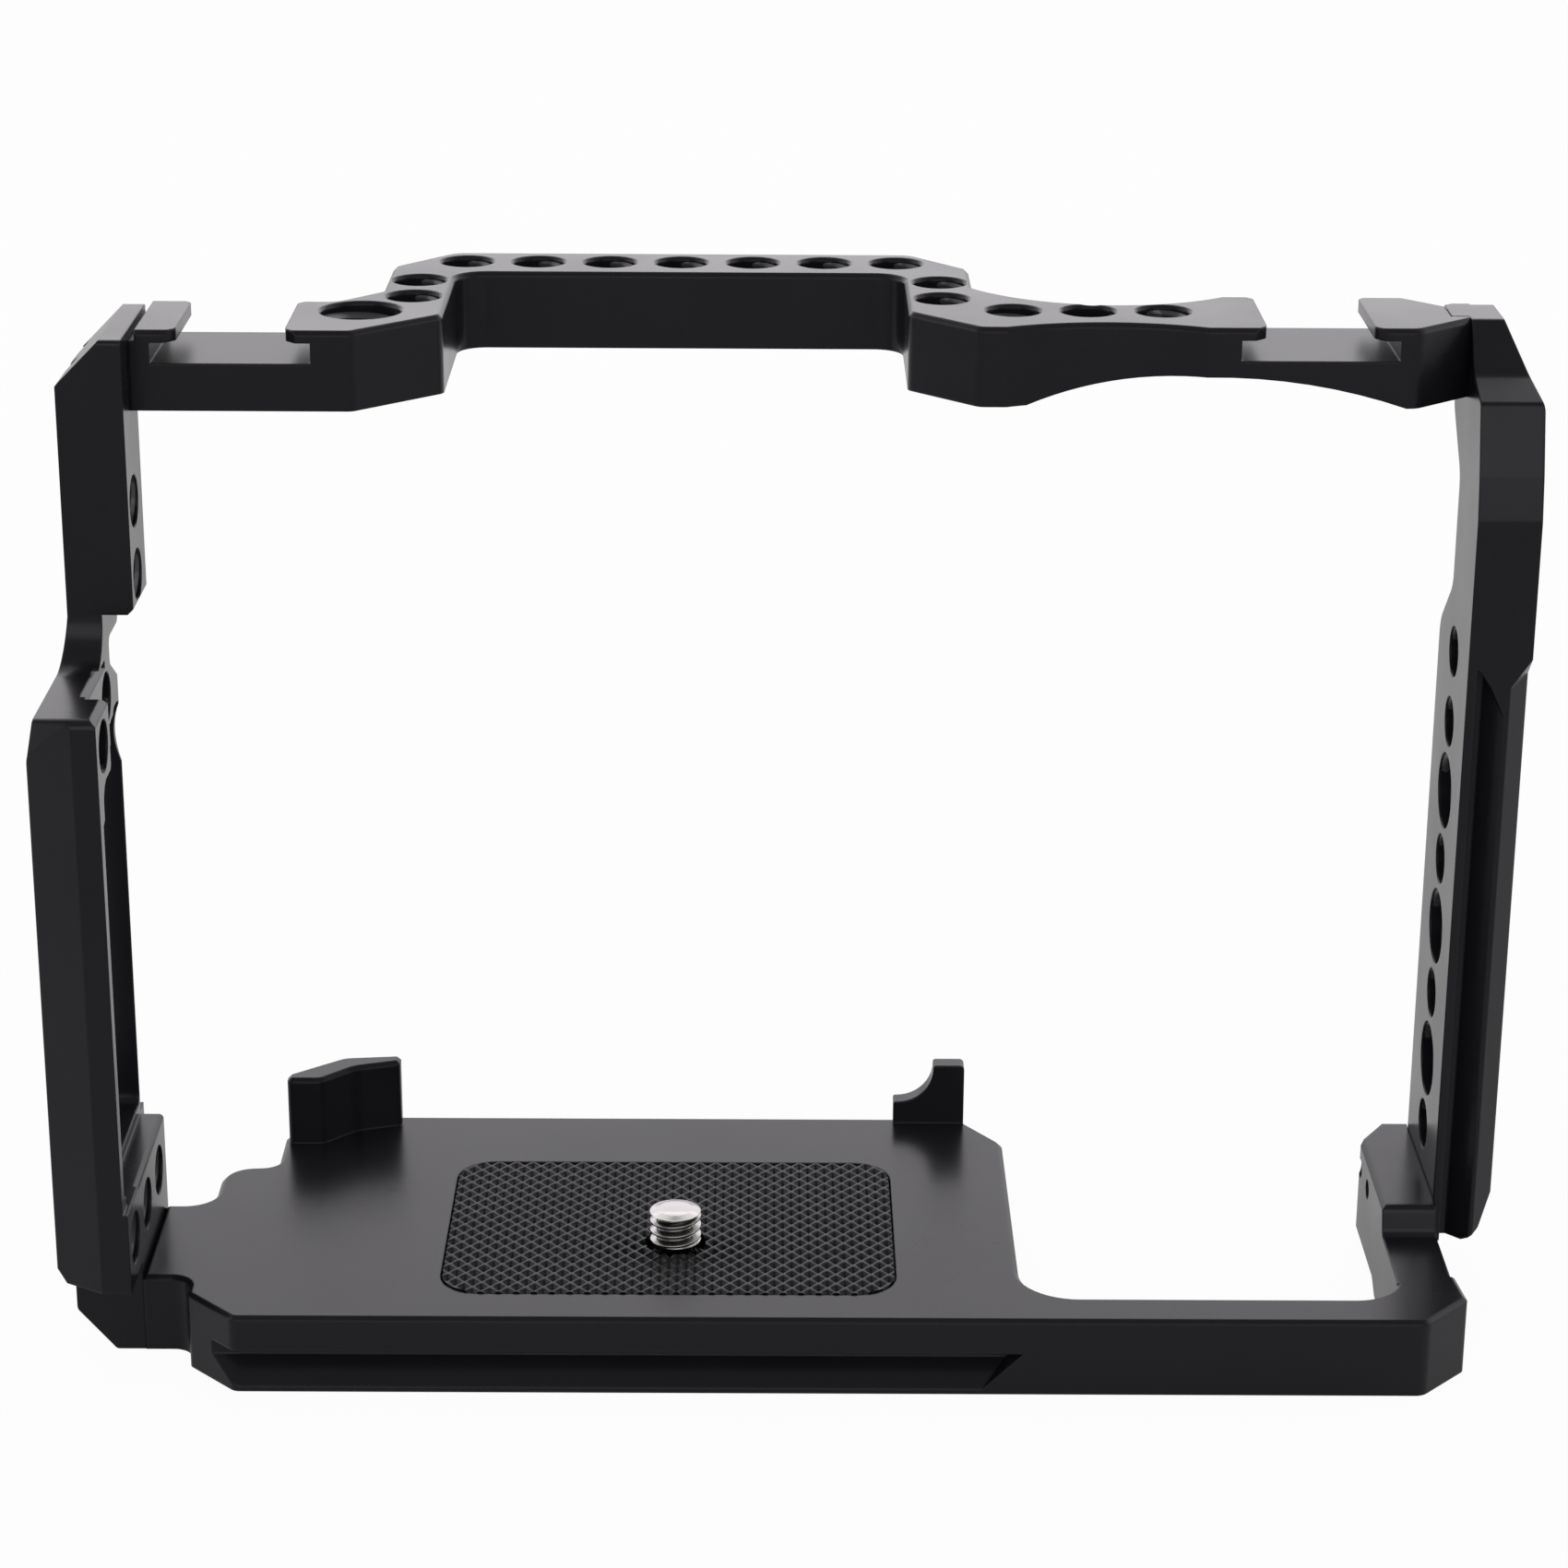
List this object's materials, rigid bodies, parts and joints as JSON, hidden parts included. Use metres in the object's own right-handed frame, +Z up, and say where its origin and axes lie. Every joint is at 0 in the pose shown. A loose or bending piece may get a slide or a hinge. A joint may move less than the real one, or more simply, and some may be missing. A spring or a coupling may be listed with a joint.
{
  "type": "camera cage",
  "caption": "Black machined full cage for a mirrorless camera: base plate with pad and captive screw, two arms, top bar with cold shoes and threaded accessory holes.",
  "frame": {"origin": "on the captive camera screw's axis at the camera seat, which is the pad's top face", "axes": "+Z up along the screw; +X to the viewer's right, along the cage's length; +Y towards the lens"},
  "size_m": [0.1765, 0.0746, 0.1228],
  "materials": {
    "anodised_black": "satin",
    "pad_rubber": "textured",
    "bright_steel": "turned",
    "black_steel": "satin",
    "washer_nylon": "matte"
  },
  "bodies": {
    "cage": {"bottom_plate": "anodised_black", "base_pad": "pad_rubber", "top_bar": "anodised_black", "left_arm": "anodised_black", "right_arm": "anodised_black", "top_left_screws": "black_steel", "top_right_screw": "black_steel", "foot_screws": "black_steel", "lug_screws": "black_steel"},
    "screw_slider": {"screw_washer": "washer_nylon"},
    "camera_screw": {"camera_screw": "bright_steel"}
  },
  "joints": [
    {"name": "screw_lift", "type": "slide", "parent": "cage", "child": "screw_slider", "axis": [0, 0, 1], "range_m": [-0.0019, 0]},
    {"name": "screw_turn", "type": "hinge", "parent": "screw_slider", "child": "camera_screw", "pos_m": [0, 0, 0], "axis": [0, 0, 1], "continuous": true}
  ]
}
